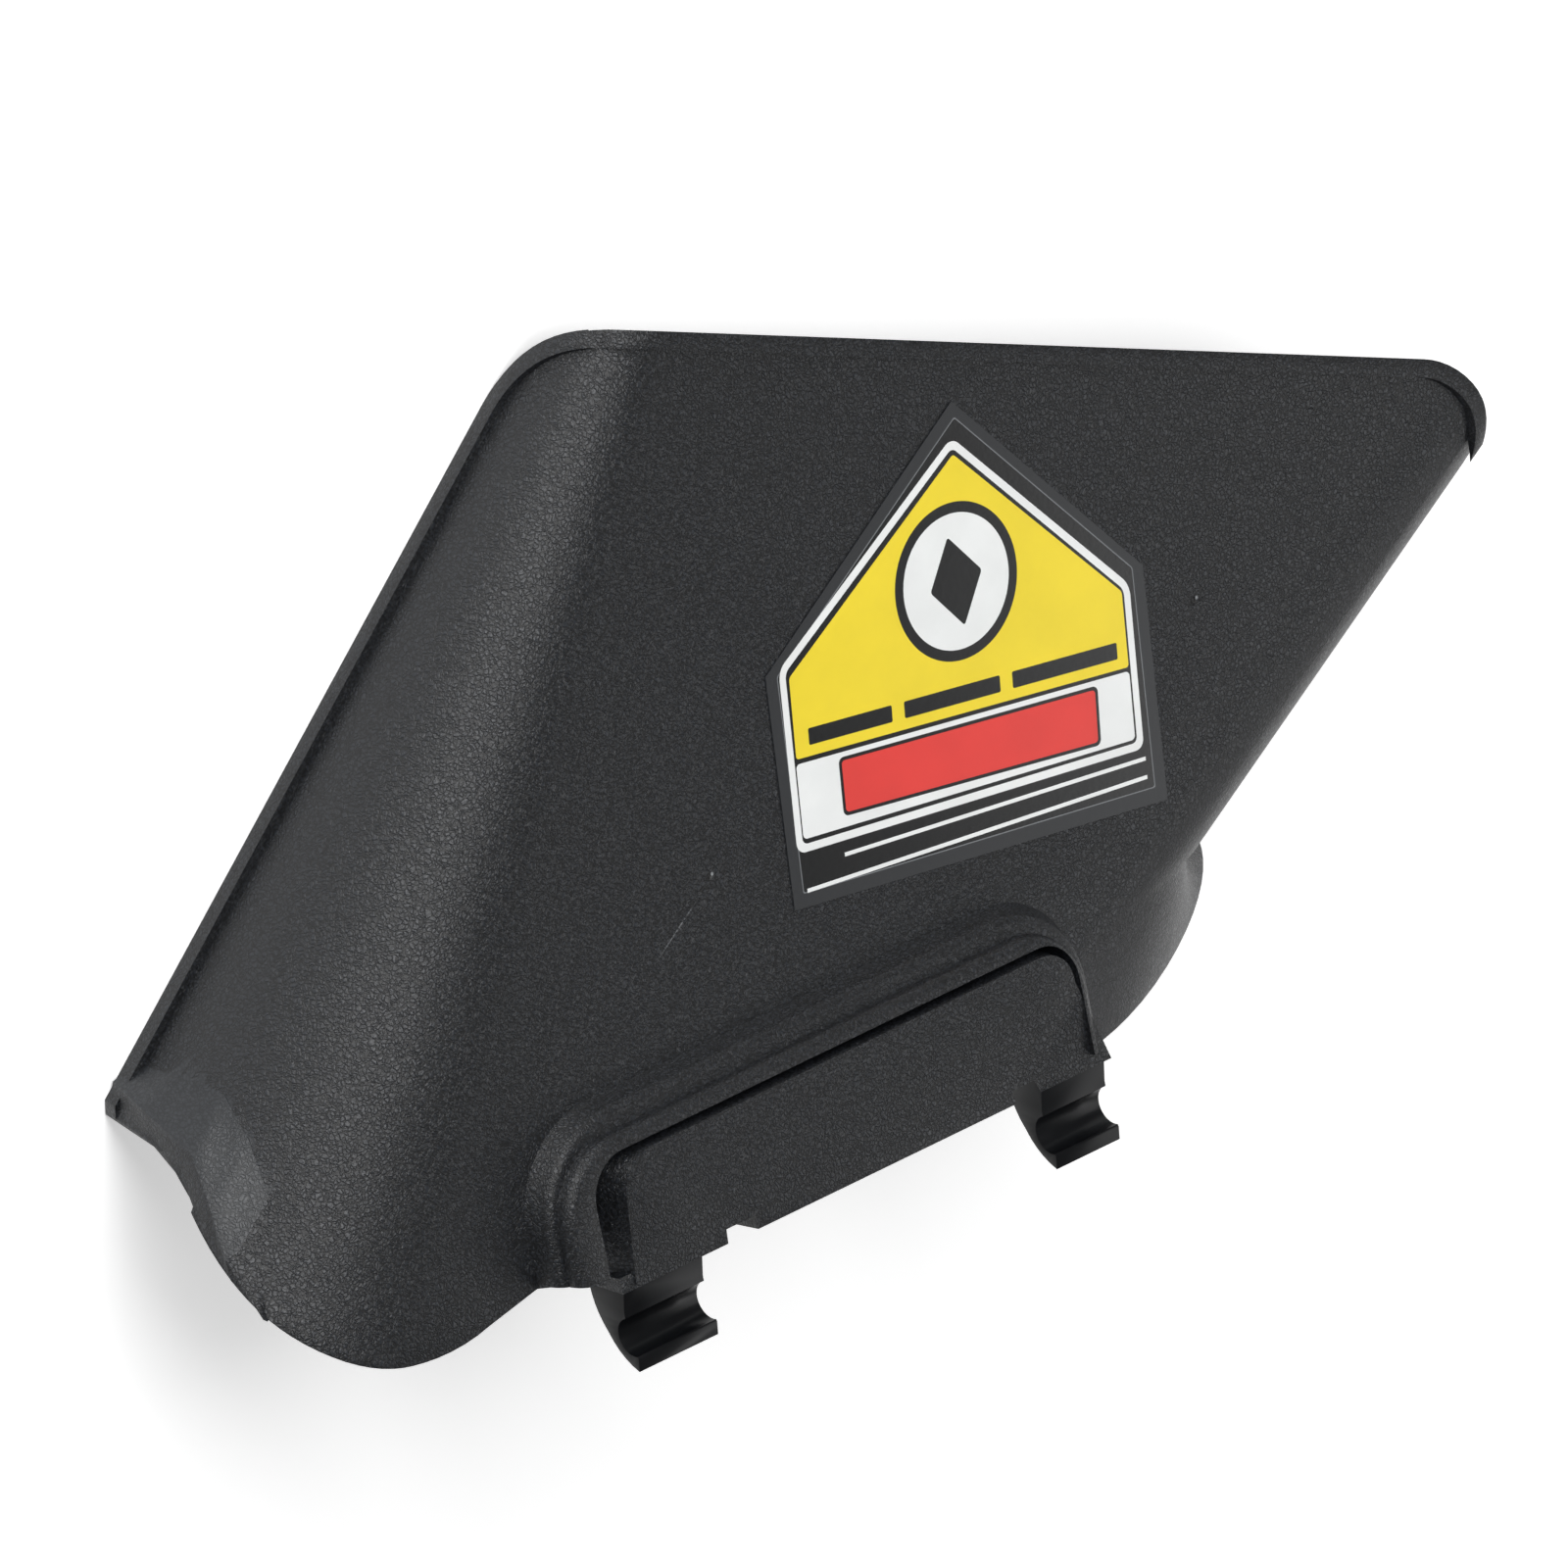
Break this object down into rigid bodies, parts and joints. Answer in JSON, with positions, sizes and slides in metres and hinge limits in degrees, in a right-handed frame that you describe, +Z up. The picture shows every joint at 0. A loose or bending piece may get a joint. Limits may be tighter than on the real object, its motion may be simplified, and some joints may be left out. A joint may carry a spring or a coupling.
{
  "type": "mower discharge deflector",
  "caption": "Moulded hood that turns the cuttings of a side-discharge mower deck downwards, with a raised rim, flared mouth and open hooks that clip over a hinge rod.",
  "frame": {"origin": "middle of the hinge rod's axis, between the outer ends of the two hooks", "axes": "+X along the hinge rod, +Y out towards the discharge edge, +Z up, with the lower rim level"},
  "size_m": [0.4175, 0.2347, 0.0978],
  "materials": {
    "black_polypropylene": "leather-grained moulding",
    "label_vinyl": "printed gloss vinyl"
  },
  "bodies": {
    "root": {"deflector_hood": "black_polypropylene", "face_label": "label_vinyl"}
  },
  "joints": []
}
